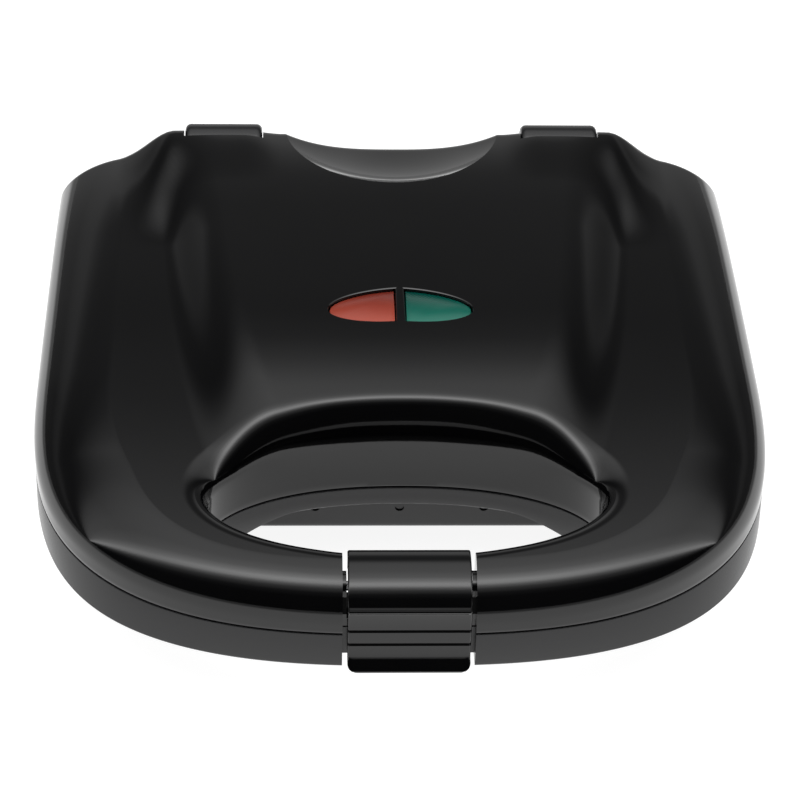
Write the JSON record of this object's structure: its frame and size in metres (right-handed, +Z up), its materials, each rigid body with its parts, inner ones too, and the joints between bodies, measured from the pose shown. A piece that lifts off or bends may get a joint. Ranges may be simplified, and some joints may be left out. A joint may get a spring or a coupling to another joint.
{
  "type": "sandwich maker",
  "caption": "Countertop sandwich maker with a hinged lid, a handle round a half-moon finger opening, a latch clip, lamp lenses and pocketed cooking plates.",
  "frame": {"origin": "middle of the footprint on the surface that the feet stand on", "axes": "+X to the right seen from the handle, -Y towards the handle, +Z up"},
  "size_m": [0.236, 0.2328, 0.0812],
  "materials": {
    "black_shell": "gloss black moulded plastic",
    "black_cover": "satin black moulded plastic",
    "plate_coating": "dark non-stick coating on cast aluminium",
    "heater_sheath": "heat-darkened steel tube",
    "bright_sheet": "bright aluminised sheet",
    "steel": "plain zinc-plated steel",
    "pale_insulator": "matt ceramic-filled plastic",
    "black_rubber": "matt black rubber",
    "red_lens": "tinted clear red plastic with a fine cross-hatched back",
    "green_lens": "tinted clear green plastic with a fine cross-hatched back",
    "lamp_glass": "small clear glass lamp",
    "lead_sleeve": "woven glass-fibre sleeve"
  },
  "bodies": {
    "base": {"base_shell": "black_shell", "base_cover": "black_cover", "lower_plate": "plate_coating", "lower_heater": "heater_sheath", "lower_heater_clamp": "bright_sheet", "lower_reflector": "bright_sheet", "terminal_block": "pale_insulator", "cord_gland": "black_rubber", "foot_pad_1": "black_rubber", "foot_pad_2": "black_rubber", "foot_pad_3": "black_rubber", "foot_pad_4": "black_rubber", "base_cover_screw_1": "steel", "base_cover_screw_2": "steel", "base_cover_screw_3": "steel", "base_cover_screw_4": "steel", "lower_clamp_screw_1": "steel", "lower_clamp_screw_2": "steel", "lower_lead_1": "lead_sleeve", "lower_lead_2": "lead_sleeve"},
    "lid": {"lid_shell": "black_shell", "lid_cover": "black_cover", "upper_plate": "plate_coating", "upper_heater": "heater_sheath", "upper_heater_clamp": "bright_sheet", "upper_reflector": "bright_sheet", "thermostat": "pale_insulator", "thermal_fuse": "steel", "lamp_holder": "black_cover", "power_neon": "lamp_glass", "ready_neon": "lamp_glass", "power_lens": "red_lens", "ready_lens": "green_lens", "hinge_pin_left": "steel", "hinge_pin_right": "steel", "latch_pin": "steel", "lid_cover_screw_1": "steel", "lid_cover_screw_2": "steel", "lid_cover_screw_3": "steel", "lid_cover_screw_4": "steel", "upper_clamp_screw_1": "steel", "upper_clamp_screw_2": "steel", "upper_lead_1": "lead_sleeve", "upper_lead_2": "lead_sleeve"},
    "latch": {"latch_clip": "black_shell"}
  },
  "joints": [
    {"name": "lid_hinge", "type": "hinge", "parent": "base", "child": "lid", "pos_m": [0, 0.109, 0.0738], "axis": [-1, 0, 0], "range_deg": [0, 100]},
    {"name": "latch_pivot", "type": "hinge", "parent": "lid", "child": "latch", "pos_m": [0, -0.1016, 0.0503], "axis": [-1, 0, 0], "range_deg": [0, 60]}
  ]
}
